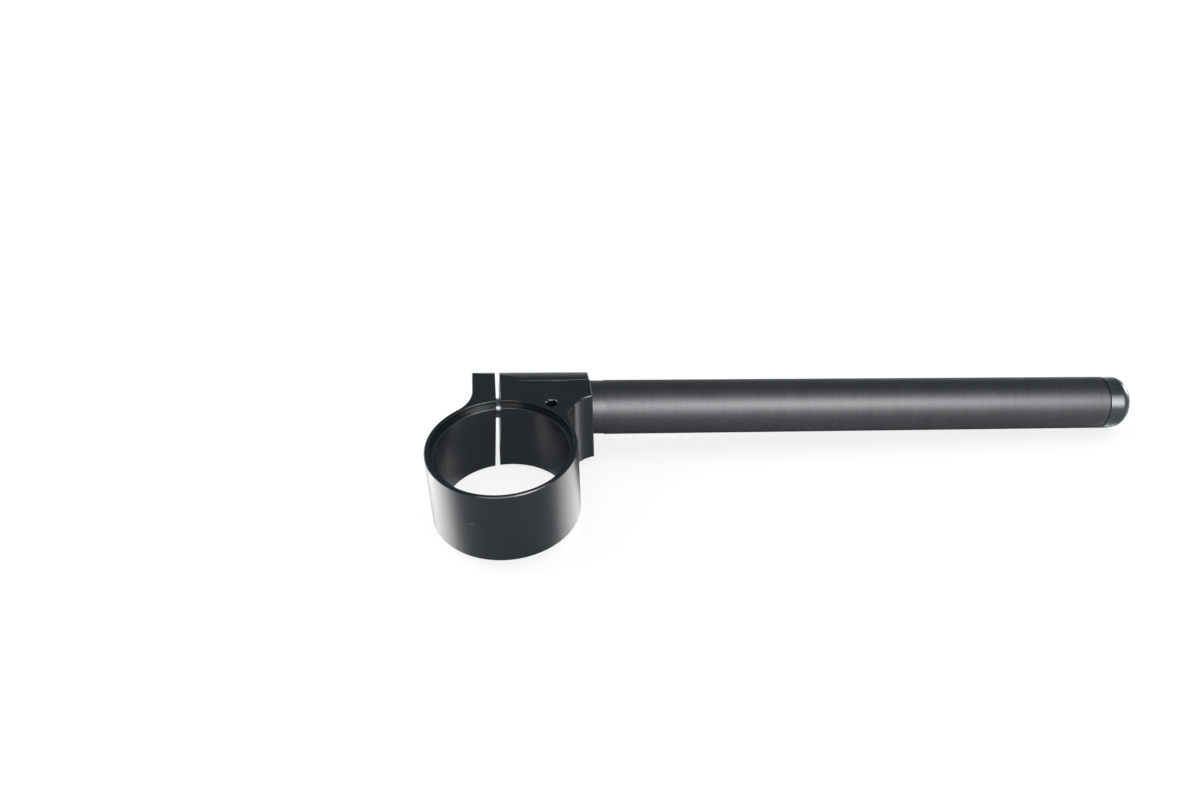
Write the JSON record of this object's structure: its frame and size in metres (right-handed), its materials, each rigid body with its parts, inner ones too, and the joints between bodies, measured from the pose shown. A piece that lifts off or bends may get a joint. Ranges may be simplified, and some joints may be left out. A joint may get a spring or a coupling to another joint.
{
  "type": "clip on handlebar",
  "caption": "Clip-on handlebar: split clamp ring for a fork leg, with a barrel that holds a straight, slightly drooping bar tube closed by a domed end plug.",
  "frame": {"origin": "on the fork leg's axis, at half the clamp ring's height", "axes": "+Z along the fork leg towards the face with the snap ring recess, +X the bar's way out seen along the fork leg, +Y from the fork leg to the bar"},
  "size_m": [0.2982, 0.0828, 0.0478],
  "materials": {
    "anodised_clamp": "fine satin black anodised, machined",
    "anodised_bar": "drawn tube, satin black anodised",
    "anodised_plug": "turned and polished, black anodised",
    "zinc_bolt": "bright zinc plate"
  },
  "bodies": {
    "root": {"clamp_body": "anodised_clamp", "bar_tube": "anodised_bar", "bar_end_plug": "anodised_plug", "pinch_bolt": "zinc_bolt"}
  },
  "joints": []
}
